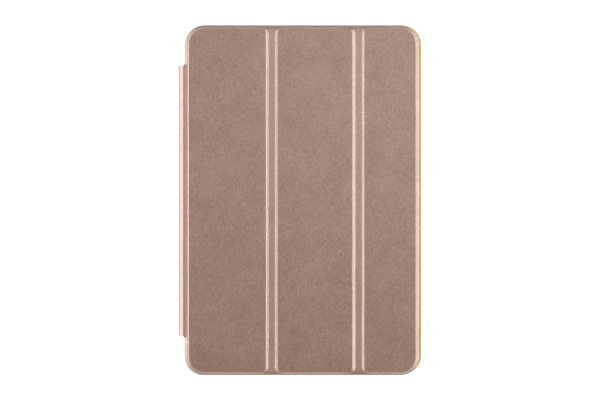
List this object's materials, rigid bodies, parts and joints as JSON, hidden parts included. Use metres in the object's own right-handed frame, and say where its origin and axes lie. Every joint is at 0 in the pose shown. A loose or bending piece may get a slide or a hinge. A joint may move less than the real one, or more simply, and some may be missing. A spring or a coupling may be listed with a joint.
{
  "type": "tablet computer",
  "caption": "Small tablet computer closed inside a folding leather case, with a raised-panel cover that hinges at a spine strip and folds along grooves, and edge keys that press.",
  "frame": {"origin": "centre of the case's rear face, on the plane that it rests on", "axes": "+X to the tablet's right edge, +Y to its top edge, +Z out of the screen towards the cover"},
  "size_m": [0.1414, 0.2039, 0.0121],
  "materials": {
    "case_leather": "fine pebble grain, slight metallic sheen",
    "case_lining": "soft microfibre",
    "case_board": "stiff fibre board",
    "case_tray": "satin gold",
    "housing": "fine bead-blasted",
    "glass": "polished",
    "mask": "printed white",
    "display": "dark, switched off",
    "sheet_steel": "bright",
    "battery_wrap": "black film",
    "circuit_board": "green solder mask",
    "chip": "moulded black",
    "flat_cable": "amber film",
    "socket_plastic": "moulded black",
    "magnet": "nickel plated",
    "gasket": "soft black",
    "key_metal": "fine bead-blasted",
    "key_front": "white"
  },
  "bodies": {
    "tablet": {"case_back_leather": "case_leather", "case_tray": "case_tray", "case_tray_lining": "case_lining", "rear_hinge_strip": "case_leather", "rear_housing": "housing", "cover_glass": "glass", "bezel_mask": "mask", "display_panel": "display", "display_backplate": "sheet_steel", "display_cable": "flat_cable", "touch_cable": "flat_cable", "battery_cell_left": "battery_wrap", "battery_cell_right": "battery_wrap", "battery_board": "circuit_board", "battery_connector": "socket_plastic", "logic_board": "circuit_board", "board_shields": "sheet_steel", "board_chips": "chip", "board_screws": "sheet_steel", "charging_port": "sheet_steel", "headphone_jack": "socket_plastic", "speaker_left": "socket_plastic", "speaker_right": "socket_plastic", "speaker_meshes": "sheet_steel", "microphone": "sheet_steel", "front_camera": "socket_plastic", "rear_camera": "socket_plastic", "camera_lens": "glass", "camera_trim_ring": "key_metal", "antenna_left": "flat_cable", "antenna_right": "flat_cable", "edge_magnets": "magnet", "cover_sensor": "chip", "home_button_gasket": "gasket", "home_switch": "sheet_steel", "power_switch": "circuit_board", "volume_switch_board": "circuit_board"},
    "spine": {"spine_leather": "case_leather", "spine_board": "case_board", "spine_lining": "case_lining", "front_hinge_strip": "case_leather"},
    "panel_1": {"panel_1_leather": "case_leather", "panel_1_board": "case_board", "panel_1_lining": "case_lining", "panel_1_steel_strip": "sheet_steel", "fold_1_strip": "case_leather"},
    "panel_2": {"panel_2_leather": "case_leather", "panel_2_board": "case_board", "panel_2_lining": "case_lining", "fold_2_strip": "case_leather"},
    "panel_3": {"panel_3_leather": "case_leather", "panel_3_board": "case_board", "panel_3_lining": "case_lining", "panel_3_magnets": "magnet"},
    "home_key": {"home_button": "key_front"},
    "power_key": {"power_button": "key_metal"},
    "volume_up_key": {"volume_up_button": "key_metal"},
    "volume_down_key": {"volume_down_button": "key_metal"},
    "mute_key": {"mute_slider": "key_metal"}
  },
  "joints": [
    {"name": "spine_rear_hinge", "type": "hinge", "parent": "tablet", "child": "spine", "pos_m": [-0.0728, 0, 0], "axis": [0, -1, 0], "range_deg": [0, 270], "deforming": ["rear_hinge_strip"]},
    {"name": "spine_front_hinge", "type": "hinge", "parent": "spine", "child": "panel_1", "pos_m": [-0.0715, 0, 0.0111], "axis": [0, -1, 0], "range_deg": [0, 90], "deforming": ["front_hinge_strip"]},
    {"name": "cover_fold_1", "type": "hinge", "parent": "panel_1", "child": "panel_2", "pos_m": [-0.0183, 0, 0.0122], "axis": [0, 1, 0], "range_deg": [-158, 0], "deforming": ["fold_1_strip"]},
    {"name": "cover_fold_2", "type": "hinge", "parent": "panel_2", "child": "panel_3", "pos_m": [0.03225, 0, 0.0122], "axis": [0, 1, 0], "range_deg": [-175, 0], "deforming": ["fold_2_strip"]},
    {"name": "home_button_press", "type": "slide", "parent": "tablet", "child": "home_key", "axis": [0, 0, -1], "range_m": [0, 0.0003], "stiffness_N_per_m": 1500},
    {"name": "power_button_press", "type": "slide", "parent": "tablet", "child": "power_key", "axis": [0, -1, 0], "range_m": [0, 0.0003], "stiffness_N_per_m": 1500},
    {"name": "volume_up_press", "type": "slide", "parent": "tablet", "child": "volume_up_key", "axis": [-1, 0, 0], "range_m": [0, 0.0003], "stiffness_N_per_m": 1500},
    {"name": "volume_down_press", "type": "slide", "parent": "tablet", "child": "volume_down_key", "axis": [-1, 0, 0], "range_m": [0, 0.0003], "stiffness_N_per_m": 1500},
    {"name": "mute_slide", "type": "slide", "parent": "tablet", "child": "mute_key", "axis": [0, -1, 0], "range_m": [0, 0.002]}
  ]
}
